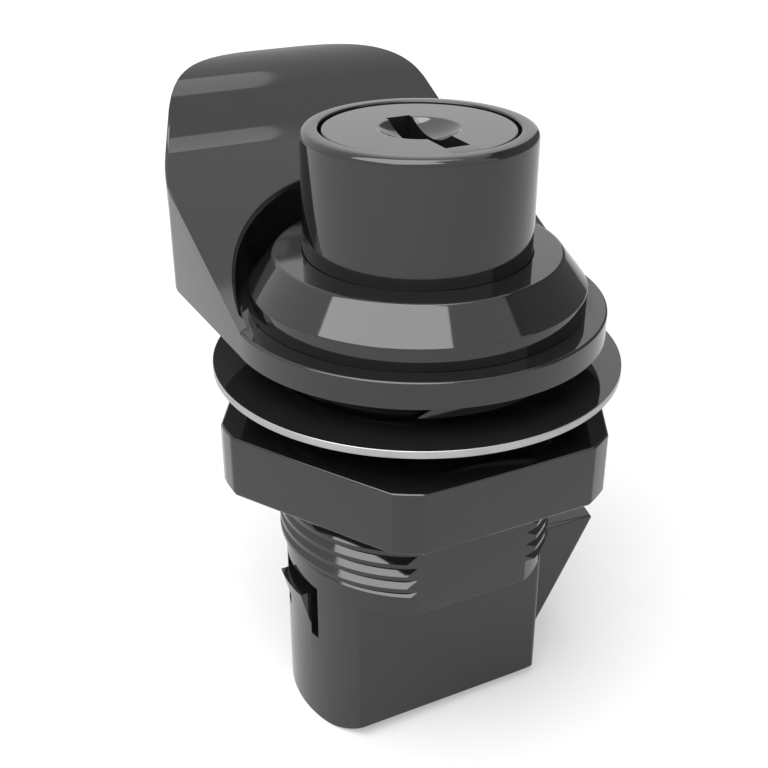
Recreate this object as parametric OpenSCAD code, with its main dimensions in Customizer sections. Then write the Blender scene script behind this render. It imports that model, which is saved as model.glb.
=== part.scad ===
// Push-to-close latch with a finger pull and a key lock, for a panel or a locker door.
// Millimetres. The origin is on the barrel's axis, in the plane where the pull seats on the panel.
// +Z points out of the panel towards the button, +X along the bolt, +Y towards the finger pull.

/* [Barrel] */
// Diameter over the barrel's thread
barrel_d = 25.4; // [25.2:0.1:26.2]
// Distance across the barrel's two flats
barrel_flats = 21.74; // [21.3:0.02:22.4]
// Length of the thread below the panel seat
thread_len = 20.15; // [18.5:0.05:21]
// Distance from one thread to the next
thread_pitch = 1.27; // [1:0.01:1.5]
// Depth of the thread
thread_depth = 0.5; // [0.3:0.05:0.5]
// Depth of the shoulder below the panel seat
shoulder_depth = 22.75; // [22.25:0.05:25]

/* [Bezel] */
// Diameter of the bezel's lip
bezel_d = 29; // [28:0.1:30]
// Diameter of the bezel's flat top
bezel_top_d = 24.6; // [23:0.1:27]
// Height of the lip's straight wall
lip_h = 1.85; // [1.2:0.05:2.4]
// Height of the bezel above the ring of the pull
bezel_h = 4.65; // [4.2:0.05:6]

/* [Lower case] */
// Diameter of the lower case
case_d = 24.4; // [24:0.1:25]
// Distance across the lower case's two flats
case_flats = 15.5; // [14.5:0.1:17]
// Radius on the lower case's upright edges
case_round = 0.7; // [0.7:0.3:1.6]
// Radius between the lower case's flats and its bottom
foot_round = 3.1; // [1:0.1:3.6]
// Thickness of the floor under the bolt
floor_t = 3.4; // [1.6:0.05:4]
// Thickness of the deck that the button spring stands on
deck_t = 3.75; // [3:0.05:4.5]
// Wall left behind the bolt
back_wall = 1.8; // [1.4:0.1:2.2]

/* [Snap tab] */
// Angle of the window round the snap tab
window_angle = 32.4; // [28:0.2:36]
// Height of the window
window_h = 5.6; // [5:0.1:7]
// Gap between the tab and the window's edge
tab_gap = 1.05; // [0.6:0.05:1.4]
// How far the tab's barb stands out of the case
barb_out = 0.9; // [0.4:0.1:1.5]
// Height of the barb's slope
barb_h = 3.55; // [2:0.05:4]

/* [Finger pull] */
// Diameter of the ring under the bezel
ring_d = 32.6; // [31:0.1:35]
// Thickness of the ring
ring_h = 2.25; // [1.8:0.05:3]
// Distance from the axis to the wing's back wall
wing_back = 17; // [16.5:0.1:18]
// Slope of the ramp
ramp_angle = 25.1; // [22:0.1:28]
// Distance from the axis to the foot of the ramp
ramp_from = 0.23; // [0.1:0.01:1]
// Distance from the axis to the end of the ramp
ramp_run = 20.54; // [19.5:0.02:22]
// Slope of the part that rises above the ramp
rise_angle = 49.3; // [42:0.1:56]
// Length of the part that rises
rise_len = 4.45; // [3:0.05:6]
// Radius of the bend between the ramp and the rise
bend_r = 3.2; // [1.5:0.1:5]
// Radius of the roll between the rise and the tip
roll_r = 4.8; // [3.2:0.1:7]
// Slope where the roll ends and the tip begins
tip_angle = 25.5; // [20:0.5:32]
// Slope at the end of the tip
end_angle = 2.5; // [0:0.5:10]
// Radius of the tip's curve
tip_r = 9.5; // [7:0.1:12]
// Width of the wing at the end of its straight sides
wing_w = 33.1; // [32:0.1:35]
// Thickness of the wing where it leaves the ramp
wing_t = 2.2; // [1.9:0.05:3]
// Thickness of the wing at its tip
tip_t = 1.8; // [1.2:0.1:2.4]
// Radius of the hollow that clears the bezel
hollow_r = 15.5; // [15.2:0.1:16]

/* [Push button] */
// Diameter of the button
button_d = 19.5; // [19.2:0.02:19.6]
// Height of the button above the bezel
button_rise = 10.35; // [9:0.05:12]
// Length of the button from its top to its lower end
button_len = 25.25; // [24.5:0.05:26]
// Radius round the button's top edge
top_round = 0.6; // [0.3:0.05:1]
// Travel of the button
travel = 6; // [5:0.1:6]
// Width of each of the button's two guide keys, as an angle
key_angle = 24; // [16:1:30]
// How far the guide keys stand out
key_out = 1.15; // [0.9:0.05:1.2]

/* [Key lock] */
// Diameter of the plug's face
face_d = 16; // [15.2:0.1:16.4]
// Diameter of the plug's body
plug_d = 14; // [13.2:0.1:14.2]
// Length of the plug from its face to its shoulder
plug_len = 16.1; // [15.6:0.1:16.6]
// Depth of the plug's face below the button's top
face_drop = 0.15; // [0:0.05:0.6]
// Thickness of the plug's head
head_h = 4.1; // [3:0.1:4.5]
// Diameter of the dish in the plug's face
dish_d = 6.86; // [5:0.02:8]
// Depth of the dish
dish_h = 1.1; // [0.6:0.1:1.6]
// Width of the key slot
slot_w = 2.2; // [1.8:0.1:2.6]
// Length of the key slot
slot_len = 10.05; // [8.5:0.05:11]
// How far the key slot's middle lies off the axis
slot_off = 1.17; // [0.6:0.01:1.3]
// Number of wafers
wafers = 5; // [3:1:5]
// Distance between wafers
wafer_pitch = 1.8; // [1.6:0.05:1.85]
// Thickness of a wafer
wafer_t = 1; // [0.8:0.05:1.1]
// Width of a wafer
wafer_w = 5.6; // [5:0.1:6]

/* [Lock cam] */
// Reach of the cam's two ears
cam_r = 6.4; // [5.8:0.1:6.6]
// Width of the cam's ears
cam_w = 5.2; // [4.4:0.1:5.6]
// Thickness of the cam
cam_t = 2; // [1.5:0.1:2.4]
// Diameter of the cam's hub
hub_d = 8.4; // [7.8:0.1:8.6]
// Diameter of the plug's tail
tail_d = 6.4; // [5.8:0.1:6.8]
// Distance across the tail's flats
tail_flats = 4.8; // [4.4:0.1:5.4]
// Thickness of the stop washer
stop_t = 1; // [0.8:0.1:1.2]
// Diameter of the cam screw
screw_d = 3; // [2.5:0.1:3.4]

/* [Yoke] */
// Diameter of the yoke's ring plate
yoke_d = 15.2; // [14.8:0.1:15.4]
// Thickness of the yoke's ring plate
yoke_t = 1.3; // [1:0.1:1.6]
// Thickness of the yoke's bridge
bridge_t = 1.8; // [1.4:0.1:2]
// Width of the yoke's tongue
tongue_w = 4.8; // [4:0.1:5]
// Distance from the axis to the tongue's straight face
tongue_front = 4; // [3.8:0.1:4.2]
// Distance from the axis to the tongue's sloped side
tongue_back = 3.6; // [3:0.1:4]

/* [Slam bolt] */
// Width of the bolt
bolt_w = 9.8; // [9:0.1:10.2]
// Height of the bolt
bolt_h = 11.7; // [11.4:0.05:13]
// Distance from the axis to the bolt's tip
bolt_tip = 18.1; // [17.4:0.1:19]
// Straight height of the bolt's nose under its top
nose_h = 0.3; // [0.2:0.1:1]
// Distance from the axis to the top of the bolt's ramp
ramp_x = -0.5; // [-0.8:0.1:0]

/* [Fastening] */
// Diameter of the panel washer
washer_d = 35.8; // [34:0.1:38]
// Thickness of the panel washer
washer_t = 0.66; // [0.5:0.02:1.2]
// Distance from the seat to the washer, where the panel goes
panel_gap = 2.69; // [2.2:0.01:4]
// Width of the nut across its flats
nut_flats = 32.64; // [31:0.02:34]
// Diameter of the nut over its trimmed corners
nut_corners = 36.2; // [35:0.1:37]
// Thickness of the nut
nut_h = 5.62; // [4.5:0.02:7]
// Distance from the washer to the nut
nut_gap = 3.07; // [1:0.01:4]

/* [Springs and seals] */
// Wire of the button spring
button_wire = 0.9; // [0.7:0.05:1]
// Wire of the bolt spring
bolt_wire = 0.5; // [0.4:0.05:0.6]
// Outside diameter of the bolt spring
bolt_spring_d = 4.3; // [3.8:0.1:4.5]
// Turns of the bolt spring
bolt_turns = 8; // [6:1:9]
// Width of the seal ring under the bezel
seal_w = 0.9; // [0.6:0.05:0.95]
// Height of the seal ring under the bezel
seal_h = 0.75; // [0.5:0.05:1]

/* [Clearances] */
// Gap between the button and its bore
button_gap = 0.05; // [0.05:0.01:0.1]
// Gap between sliding faces
slide_gap = 0.15; // [0.1:0.01:0.2]
// Gap at a round running fit
run_gap = 0.05; // [0.03:0.01:0.08]
// Gap at the end of a stroke
stop_gap = 0.3; // [0.2:0.05:0.4]
// Gap between the plug's face and its recess
face_gap = 0.25; // [0.15:0.05:0.3]

/* [Hidden] */
$fn = 96;

// Faces that are cut reach this far past the solid
past = 1;
// Steps along each bend of the wing, and along each side of its outline
bend_steps = 6;
outline_steps = 16;

barrel_r = barrel_d / 2;
bezel_r = bezel_d / 2;
bezel_top_r = bezel_top_d / 2;
case_r = case_d / 2;
ring_r = ring_d / 2;
button_r = button_d / 2;
bore_r = button_r + button_gap;
yoke_r = yoke_d / 2;
washer_r = washer_d / 2;

// Heights from the seat up
lip_top = ring_h + lip_h;
bezel_top = ring_h + bezel_h;
button_top = bezel_top + button_rise;
button_end = button_top - button_len;
face_z = button_top - face_drop;
plug_end = face_z - plug_len;
head_z = face_z - head_h;

// Heights from the seat down
shoulder_z = -shoulder_depth;
deck_z = shoulder_z + deck_t;
chamber_top = shoulder_z + slide_gap;
bolt_low = shoulder_z - bolt_h;
chamber_floor = bolt_low - slide_gap;
case_low = chamber_floor - floor_t;
chamber_back = case_r - back_wall;
chamber_w = bolt_w + 2 * slide_gap;
rim_round = 0.25;

// The thread from one root to the next: where its crest begins and ends, as shares of the pitch
crest_from = 0.29;
crest_to = 0.6;
thread_top = 0.3;
threads = floor((thread_len - thread_top) / thread_pitch);

// Lock parts hang from the plug's shoulder
clip_t = 0.8;
clip_z = plug_end + 0.6;
clip_in = 6.3;
clip_out = 7.7;
clip_mouth = 6.4;
cup_r = 8;
cup_z = clip_z + clip_t + slide_gap;
stop_z = plug_end - stop_t;
cam_z = stop_z - cam_t;
tail_end = cam_z + 0.1;

// The screw under the cam and its split washer
spring_washer_t = 0.6;
spring_washer_cut = 0.6;
screw_depth = 1.2;
screw_head_h = 1.8;
screw_head_z = cam_z - spring_washer_t - screw_head_h;
screw_head_r = screw_d * 0.87;
screw_slot = [0.6, screw_head_r * 1.3, 1];

// The plug turns a quarter: the washer's ear swings between the ends of the button's rib
ear_angle = 28;
ear_slack = 1.5;
stop_r = 6.2;
rib_from = ear_angle / 2 + ear_slack - 90;
rib_to = 180 - ear_angle / 2 - ear_slack;

// The seal in the groove round the plug's head
plug_seal_z = head_z + 1.4;
plug_seal_h = 1.2;
plug_seal_in = 6.9;

// Guide keys on the button, on legs that spring between two slits
key_h = 3;
key_slack = 1.5;
slit_angle = 4;
slit_w = 1;
slit_h = 6;

// The yoke hangs under the cam, with room for the locked cam to sink past its ring plate
yoke_top = cam_z - stop_gap;
yoke_under = yoke_top - yoke_t;
bridge_top = screw_head_z - travel - stop_gap;
bridge_z = bridge_top - bridge_t;
leg_in = hub_d / 2 + stop_gap + slide_gap;
leg_out = 7;
leg_w = 5.8;
bridge_w = 9.2;
ramp_gap = 0.2;
tongue_tip = 0.8;

// The bolt and its pocket
pocket_front = tongue_front + travel + stop_gap;
bolt_back = -(chamber_back - travel - slide_gap);
bolt_spring_drop = 8.05;
bolt_spring_z = shoulder_z - bolt_spring_drop;
bolt_spring_pocket = 4.8;
bolt_spring_seat = 2;
bolt_boss_d = 2.8;
bolt_boss_h = 1.5;

// The snap tab
window_low = shoulder_z - window_h;
tab_top = shoulder_z - tab_gap;
tab_angle = window_angle - 2 * asin(tab_gap / case_r);

// The button spring
spring_rest = button_end - deck_z;
button_coil_r = (cup_r + bore_r) / 2 - 0.25;
button_turns = floor((spring_rest - travel) / button_wire - 0.3);
spring_gap = 0.05;

// Seals
seal_wall = 0.55;
seal_r = bezel_r - seal_wall;
wiper_z = ring_h + 2;
wiper_h = 1;
wiper_w = 0.92;

// The panel washer and the nut
washer_z = -panel_gap - washer_t;
nut_z = washer_z - nut_gap - nut_h;

plastic = "#35363a";
dark_plastic = "#2b2c2f";
steel = "#b9bcc0";
zinc = "#6e7074";
rubber = "#1c1c1d";

// A block given by its lowest and its highest corner
module block(low, high) {
    translate(low) cube(high - low);
}

// A bar that is centred on the axis in X and Y
module bar(size_x, size_y, low, high) {
    block([-size_x / 2, -size_y / 2, low], [size_x / 2, size_y / 2, high]);
}

// A round bar on the axis
module rod(radius, low, high) {
    translate([0, 0, low]) cylinder(r = radius, h = high - low);
}

// A round bar on the axis with two flats that face along Y
module double_d(radius, flats, low, high) {
    intersection() {
        rod(radius, low, high);
        bar(2 * radius + past, flats, low, high);
    }
}

// A part of a ring, from one angle to another
module sector(inner, outer, low, high, from, to) {
    rotate([0, 0, from]) rotate_extrude(angle = to - from)
        translate([inner, low]) square([outer - inner, high - low]);
}

// Points along an arc
round_steps = 6;
function arc(centre_x, centre_y, radius, from, to) = [for (i = [0:round_steps])
    let (a = from + (to - from) * i / round_steps)
    [centre_x + radius * cos(a), centre_y + radius * sin(a)]];

// A round bar on the axis whose lower or upper edge is rounded
module rounded_rod(radius, low, high, low_r, high_r) {
    rotate_extrude() polygon(concat(
        [[0, low]],
        low_r > 0 ? arc(radius - low_r, low + low_r, low_r, -90, 0) : [[radius, low]],
        high_r > 0 ? arc(radius - high_r, high - high_r, high_r, 0, 90) : [[radius, high]],
        [[0, high]]
    ));
}

// Coil spring: the wire climbs by its own thickness over the closed end turns
function coil_rise(turn, turns, climb, wire) =
    turn < 1 ? wire * turn
    : turn > turns - 1 ? climb - wire * (turns - turn)
    : wire + (climb - 2 * wire) * (turn - 1) / (turns - 2);

function coil_point(turn, corner, radius, turns, climb, wire) =
    let (reach = radius + wire / 2 * cos(corner))
    [reach * cos(360 * turn), reach * sin(360 * turn),
     coil_rise(turn, turns, climb, wire) + wire / 2 * (1 + sin(corner))];

module coil(radius, wire, length, turns, steps, sides) {
    rings = turns * steps;
    climb = length - wire;
    points = [for (i = [0:rings]) for (j = [0:sides - 1])
        coil_point(i / steps, 360 * j / sides, radius, turns, climb, wire)];
    walls = [for (i = [0:rings - 1]) for (j = [0:sides - 1])
        let (a = i * sides + j, b = i * sides + (j + 1) % sides)
        each [[a, b, a + sides], [b, b + sides, a + sides]]];
    first = [for (j = [0:sides - 1]) sides - 1 - j];
    last = [for (j = [0:sides - 1]) rings * sides + j];
    polyhedron(points, concat(walls, [first, last]), convexity = 10);
}

// The lower case in plan: two flats whose ends are rounded into the round sides
module case_plan() {
    centre_y = case_flats / 2 - case_round;
    centre_x = sqrt(pow(case_r - case_round, 2) - pow(centre_y, 2));
    touch = atan2(centre_y, centre_x);
    out = case_r + past;
    quarter = concat([[out, centre_y * case_r / (case_r - case_round)]],
                     arc(centre_x, centre_y, case_round, touch, 90));
    last = len(quarter) - 1;
    polygon(concat(
        quarter,
        [for (i = [last:-1:0]) [-quarter[i][0], quarter[i][1]]],
        [for (p = quarter) [-p[0], -p[1]]],
        [for (i = [last:-1:0]) [quarter[i][0], -quarter[i][1]]]
    ));
}

// The lower case's flat sides and its rounded bottom edges, seen along the bolt
module case_side() {
    half = case_flats / 2;
    right = arc(half - foot_round, case_low + foot_round, foot_round, -90, 0);
    polygon(concat(
        right, [[half, shoulder_z], [-half, shoulder_z]],
        [for (i = [round_steps:-1:0]) [-right[i][0], right[i][1]]]
    ));
}

// The lower case: round sides, flat sides and the edges between them
module case_body() {
    intersection() {
        rounded_rod(case_r, case_low, shoulder_z, rim_round, 0);
        rotate([90, 0, 90]) translate([0, 0, -case_r - past]) linear_extrude(case_d + 2 * past) case_side();
        translate([0, 0, case_low - past]) linear_extrude(shoulder_z - case_low + 2 * past) case_plan();
    }
}

// The neck and the threaded barrel: the thread stands out as rings at the thread's pitch
module barrel_body() {
    intersection() {
        rotate_extrude() polygon(concat(
            [[0, shoulder_z], [case_r, shoulder_z]],
            [for (i = [0:threads - 1]) each thread_ring(i * thread_pitch - thread_len)],
            [[barrel_r, ring_h], [0, ring_h]]
        ));
        bar(barrel_d + past, barrel_flats, shoulder_z, ring_h);
    }
}

function thread_ring(root_z) = [
    [barrel_r - thread_depth, root_z],
    [barrel_r, root_z + crest_from * thread_pitch],
    [barrel_r, root_z + crest_to * thread_pitch]
];

module bezel_body() {
    rotate_extrude() polygon([
        [0, ring_h], [bezel_r, ring_h], [bezel_r, lip_top], [bezel_top_r, bezel_top], [0, bezel_top]
    ]);
}

// The snap tab's barb: flush at its foot, proud at its top
module barb() {
    rotate([0, 0, 180 - tab_angle / 2]) rotate_extrude(angle = tab_angle) polygon([
        [chamber_back + back_wall / 2, tab_top - barb_h], [case_r, tab_top - barb_h],
        [case_r + barb_out, tab_top], [chamber_back + back_wall / 2, tab_top]
    ]);
}

// The slot that frees the snap tab from the case on three sides
module tab_slot() {
    low = chamber_back - past;
    high = case_r + past;
    difference() {
        sector(low, high, window_low, shoulder_z, 180 - window_angle / 2, 180 + window_angle / 2);
        sector(low - past, high + past, window_low - past, tab_top,
               180 - tab_angle / 2, 180 + tab_angle / 2);
    }
}

// Bezel, threaded barrel, deck, lower case and snap tab in one moulding
module housing() color(plastic) {
    key_r = button_r + key_out + slide_gap;
    difference() {
        union() {
            bezel_body();
            barrel_body();
            case_body();
        }
        rod(bore_r, deck_z, bezel_top + past);
        for (side = [0, 180])
            sector(bore_r - past, key_r, deck_z, button_end + key_h + stop_gap,
                   side - key_angle / 2 - key_slack, side + key_angle / 2 + key_slack);
        block([-tongue_back - slide_gap, -tongue_w / 2 - slide_gap, chamber_top - past],
              [tongue_front + slide_gap, tongue_w / 2 + slide_gap, deck_z + past]);
        block([-chamber_back, -chamber_w / 2, chamber_floor], [case_r + past, chamber_w / 2, chamber_top]);
        tab_slot();
        rotate_extrude() translate([seal_r - seal_w - run_gap, ring_h - past])
            square([seal_w + 2 * run_gap, seal_h + past]);
        rotate_extrude() translate([bore_r - past, wiper_z])
            square([wiper_w - button_gap + past, wiper_h]);
    }
    barb();
    translate([-chamber_back - back_wall / 2, 0, bolt_spring_z]) rotate([0, 90, 0])
        cylinder(d = bolt_boss_d, h = back_wall / 2 + bolt_boss_h);
}

// Along the wing's upper face: [distance out, height, slope]
function turn_up(p, radius, from, to) = [for (i = [0:bend_steps])
    let (a = from + (to - from) * i / bend_steps)
    [p[0] + radius * (sin(a) - sin(from)), p[1] + radius * (cos(from) - cos(a)), a]];
function turn_down(p, radius, from, to) = [for (i = [0:bend_steps])
    let (a = from + (to - from) * i / bend_steps)
    [p[0] + radius * (sin(from) - sin(a)), p[1] + radius * (cos(a) - cos(from)), a]];
function straight(p, length) = [p[0] + length * cos(p[2]), p[1] + length * sin(p[2]), p[2]];

function ramp_z(y) = ring_h + (y - ramp_from) * tan(ramp_angle);
wing_bend = turn_up([ramp_run, ramp_z(ramp_run)], bend_r, ramp_angle, rise_angle);
wing_rise = straight(wing_bend[bend_steps], rise_len);
wing_roll = turn_down(wing_rise, roll_r, rise_angle, tip_angle);
wing_tip = turn_down(wing_roll[bend_steps], tip_r, tip_angle, end_angle);
wing_top = concat(wing_bend, wing_roll, [for (i = [1:bend_steps]) wing_tip[i]]);
wing_out = wing_tip[bend_steps][0];

// The wing thins out from the end of its ramp to its tip
function wing_thickness(p) = wing_t + (tip_t - wing_t) * (p[0] - ramp_run) / (wing_out - ramp_run);
function wing_under(p) = [p[0] + wing_thickness(p) * sin(p[2]), p[1] - wing_thickness(p) * cos(p[2])];

// The wing seen from its side
module wing_profile() {
    last = len(wing_top) - 1;
    polygon(concat(
        [[0, 0], [0, ring_h], [ramp_from, ring_h]],
        [for (p = wing_top) [p[0], p[1]]],
        [for (i = [last:-1:0]) wing_under(wing_top[i])],
        [[wing_back, ramp_z(wing_back) - wing_t / cos(ramp_angle)], [wing_back, 0]]
    ));
}

// The wing in plan: straight sides that curve in to a broad round end
wing_side = 15.8;
function wing_half(share) = wing_w / 2 * pow(1 - pow(share, 1.44), 1 / 2.89);
module wing_plan() {
    end = wing_out + run_gap;
    shares = [for (i = [0:outline_steps]) 1 - pow(1 - i / outline_steps, 2)];
    right = [for (s = shares) [wing_half(s), wing_side + s * (end - wing_side)]];
    left = [for (i = [outline_steps - 1:-1:0]) [-right[i][0], right[i][1]]];
    polygon(concat([[-ring_r, 0], [ring_r, 0]], right, left));
}

// Ring under the bezel with the ramp, the overhanging wing and the hollow that clears the bezel
module finger_pull() color(plastic) {
    difference() {
        union() {
            rod(ring_r, 0, ring_h);
            intersection() {
                rotate([90, 0, 90]) translate([0, 0, -wing_w / 2]) linear_extrude(wing_w) wing_profile();
                linear_extrude(button_top + 2 * wing_out) wing_plan();
            }
        }
        rod(hollow_r, ring_h, button_top + 2 * wing_out);
        double_d(barrel_r + run_gap, barrel_flats + 2 * run_gap, -past, ring_h + past);
    }
}

module flange_seal() color(rubber) rotate_extrude()
    translate([seal_r - seal_w, ring_h]) square([seal_w, seal_h]);

module button_seal() color(rubber) rotate_extrude()
    translate([button_r + run_gap, wiper_z + run_gap])
        square([wiper_w - 2 * run_gap, wiper_h - 2 * run_gap]);

// Cap with the recess for the plug, the guide keys on sprung legs and the lock's stop
module push_button() color(plastic) {
    difference() {
        union() {
            rounded_rod(button_r, button_end, button_top, 0, top_round);
            for (side = [0, 180])
                sector((cup_r + button_r) / 2, button_r + key_out, button_end, button_end + key_h,
                       side - key_angle / 2, side + key_angle / 2);
        }
        rod(face_d / 2 + face_gap, head_z - run_gap, button_top + past);
        rod(plug_d / 2 + run_gap, cup_z - past, button_top);
        rod(cup_r, button_end - past, cup_z);
        for (side = [0, 180], edge = [-1, 1])
            rotate([0, 0, side + edge * (key_angle / 2 + slit_angle)])
                block([cup_r - past, -slit_w / 2, button_end - past],
                      [button_r + past, slit_w / 2, button_end + slit_h]);
    }
    sector(stop_r + stop_gap, cup_r + run_gap, stop_z, plug_end - run_gap, rib_from, rib_to);
}

// Plug: round face with the dish, key slot, wafer slots, clip groove, and a tail with two flats
module lock_plug() color(zinc) {
    dish_r = (pow(dish_d / 2, 2) + pow(dish_h, 2)) / (2 * dish_h);
    difference() {
        union() {
            rod(face_d / 2, head_z, face_z);
            rod(plug_d / 2, plug_end, head_z + past / 2);
            double_d(tail_d / 2, tail_flats, tail_end, plug_end + past / 2);
        }
        translate([0, 0, face_z + dish_r - dish_h]) sphere(r = dish_r);
        key_slot();
        for (i = [0:wafers - 1]) wafer_slot(wafer_z(i));
        rotate_extrude() translate([clip_in, clip_z - run_gap])
            square([plug_d / 2, clip_t + 2 * run_gap]);
        rotate_extrude() translate([plug_seal_in - run_gap, plug_seal_z - run_gap])
            square([face_d / 2, plug_seal_h + 2 * run_gap]);
        rod(screw_d / 2, tail_end - past, plug_end + screw_depth);
    }
}

module plug_seal() color(rubber) rotate_extrude() translate([plug_seal_in, plug_seal_z])
    square([face_d / 2 + face_gap - run_gap - plug_seal_in, plug_seal_h]);

module key_slot() {
    block([-slot_w / 2, -slot_len / 2 - slot_off, wafer_z(0) - wafer_t],
          [slot_w / 2, slot_len / 2 - slot_off, face_z + past]);
}

first_wafer = 3.2;
function wafer_z(i) = plug_end + first_wafer + i * wafer_pitch;
wafer_gap = 0.05;
arm_out = 5;
arm_w = 1;
arm_y = 1.6;
arm_pocket = 3;
wafer_wire = 0.2;
window_wall = 0.2;
bite_least = 0.4;
bite_step = 0.5;

module wafer_slot(z) {
    half = wafer_t / 2 + wafer_gap;
    bar(wafer_w + 2 * wafer_gap, plug_d + past, z - half, z + half);
    block([wafer_w / 2, -arm_pocket, z - half], [arm_out + wafer_gap, arm_pocket, z + half]);
}

// Wafer: a flat plate with the key's window and an arm for its spring
module wafer(z, bite) {
    half = wafer_t / 2;
    difference() {
        union() {
            intersection() {
                bar(wafer_w, plug_d, z - half, z + half);
                rod(plug_d / 2 - wafer_gap, z - past, z + past);
            }
            block([wafer_w / 2 - past, arm_y, z - half], [arm_out, arm_y + arm_w, z + half]);
        }
        block([-slot_w / 2 - wafer_gap, -slot_len / 2 - slot_off + bite, z - past],
              [slot_w / 2 + wafer_gap, slot_len / 2 - slot_off - window_wall, z + past]);
    }
}

module wafer_tumblers() color("#c8a85a")
    for (i = [0:wafers - 1]) wafer(wafer_z(i), bite_least + bite_step * ((i * 2) % 3));

module wafer_springs() color(steel)
    for (i = [0:wafers - 1])
        translate([(wafer_w / 2 + arm_out) / 2, arm_y - run_gap, wafer_z(i)]) rotate([90, 0, 0])
            coil(wafer_t / 2 - wafer_wire / 2, wafer_wire, arm_y + arm_pocket - 2 * run_gap, 5, 7, 4);

// Open ring that snaps into the plug's groove and holds it in the button
module plug_clip() color(steel) difference() {
    rod(clip_out, clip_z, clip_z + clip_t);
    rod(clip_in + run_gap, clip_z - past, clip_z + clip_t + past);
    block([0, -clip_mouth / 2, clip_z - past], [clip_out + past, clip_mouth / 2, clip_z + clip_t + past]);
}

// Washer with an ear that swings between the ends of the button's stop
module stop_washer() color(steel) difference() {
    union() {
        rod(stop_r, stop_z, plug_end);
        sector(stop_r - past, cup_r - stop_gap, stop_z, plug_end, 180 - ear_angle / 2, 180 + ear_angle / 2);
    }
    double_d(tail_d / 2 + run_gap, tail_flats + 2 * run_gap, stop_z - past, plug_end + past);
}

// Cam with two ears that press the yoke, or sink past it after a quarter turn
module lock_cam() color(steel) difference() {
    union() {
        rod(hub_d / 2, cam_z, stop_z);
        intersection() {
            bar(cam_w, 2 * cam_r, cam_z, stop_z);
            rod(cam_r, cam_z, stop_z);
        }
    }
    double_d(tail_d / 2 + run_gap, tail_flats + 2 * run_gap, cam_z - past, stop_z + past);
}

module cam_lock_washer() color(steel) difference() {
    rod(screw_d, cam_z - spring_washer_t, cam_z);
    rod(screw_d / 2 + run_gap, cam_z - 2 * spring_washer_t, cam_z + past);
    rotate([0, 0, 45]) block([0, -spring_washer_cut / 2, cam_z - 2 * spring_washer_t],
                             [screw_d + past, spring_washer_cut / 2, cam_z + past]);
}

module cam_screw() color(steel) difference() {
    union() {
        rod(screw_head_r, screw_head_z, screw_head_z + screw_head_h);
        rod(screw_d / 2 - run_gap, screw_head_z + screw_head_h - past / 2, plug_end + screw_depth - slide_gap);
    }
    for (turn = [0, 90]) rotate([0, 0, turn])
        bar(screw_slot[0], screw_slot[1], screw_head_z - past, screw_head_z + screw_slot[2]);
}

// Yoke: ring plate under the cam, two legs, a bridge, and a tongue with the ramp that drives the bolt
module cam_yoke() color(dark_plastic) {
    difference() {
        rod(yoke_r, yoke_under, yoke_top);
        rod(hub_d / 2 + stop_gap, yoke_under - past, yoke_top + past);
        bar(2 * (cam_r + stop_gap), cam_w + 2 * stop_gap, yoke_under - past, yoke_top + past);
    }
    for (side = [-1, 1])
        block([-leg_w / 2, side > 0 ? leg_in : -leg_out, bridge_z],
              [leg_w / 2, side > 0 ? leg_out : -leg_in, yoke_under + yoke_t / 2]);
    bar(leg_w, 2 * leg_out, bridge_z, bridge_top);
    bar(bridge_w, 2 * leg_in, bridge_z, bridge_top);
    top_x = ramp_x + ramp_gap;
    rotate([90, 0, 0]) translate([0, 0, -tongue_w / 2]) linear_extrude(tongue_w) polygon([
        [-tongue_back, bridge_top], [tongue_front, bridge_top],
        [tongue_front, shoulder_z + top_x - tongue_front + tongue_tip],
        [tongue_front - tongue_tip, shoulder_z + top_x - tongue_front + tongue_tip],
        [-tongue_back, shoulder_z + top_x + tongue_back]
    ]);
}

module button_spring() color(steel)
    translate([0, 0, deck_z + spring_gap])
        coil(button_coil_r, button_wire, spring_rest - 2 * spring_gap, button_turns, 20, 6);

// Bolt: round nose with the closing slope, a pocket with the ramp, and a bore for its spring
module slam_bolt() color(dark_plastic) difference() {
    intersection() {
        rotate_extrude() polygon([
            [0, bolt_low], [case_r, bolt_low], [bolt_tip, shoulder_z - nose_h],
            [bolt_tip, shoulder_z], [0, shoulder_z]
        ]);
        block([bolt_back, -bolt_w / 2, bolt_low], [bolt_tip + past, bolt_w / 2, shoulder_z]);
    }
    rotate([90, 0, 0]) translate([0, 0, -tongue_w / 2 - slide_gap]) linear_extrude(tongue_w + 2 * slide_gap)
        polygon([
            [ramp_x - past, shoulder_z + past], [pocket_front, shoulder_z + past],
            [pocket_front, shoulder_z + ramp_x - pocket_front]
        ]);
    translate([bolt_back - past, 0, bolt_spring_z]) rotate([0, 90, 0])
        cylinder(d = bolt_spring_pocket, h = bolt_spring_seat - bolt_back + past);
}

module bolt_spring() color(steel)
    translate([-chamber_back + spring_gap, 0, bolt_spring_z]) rotate([0, 90, 0])
        coil((bolt_spring_d - bolt_wire) / 2, bolt_wire, chamber_back + bolt_spring_seat - 2 * spring_gap,
             bolt_turns, 16, 6);

module panel_washer() color(steel) difference() {
    rod(washer_r, washer_z, washer_z + washer_t);
    rod(barrel_r + run_gap, washer_z - past, washer_z + washer_t + past);
}

module hex_nut() color(plastic) difference() {
    intersection() {
        translate([0, 0, nut_z]) cylinder(d = nut_flats / cos(30), h = nut_h, $fn = 6);
        rod(nut_corners / 2, nut_z, nut_z + nut_h);
    }
    rod(barrel_r + run_gap, nut_z - past, nut_z + nut_h + past);
}

housing();
finger_pull();
flange_seal();
button_seal();
push_button();
lock_plug();
plug_seal();
wafer_tumblers();
wafer_springs();
plug_clip();
stop_washer();
lock_cam();
cam_lock_washer();
cam_screw();
cam_yoke();
button_spring();
slam_bolt();
bolt_spring();
panel_washer();
hex_nut();
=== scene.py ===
"""Push-to-close latch: bezel with a threaded barrel, finger pull, keyed push button, panel washer,
hex nut and slam bolt. Metres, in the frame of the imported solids."""

import math

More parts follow.
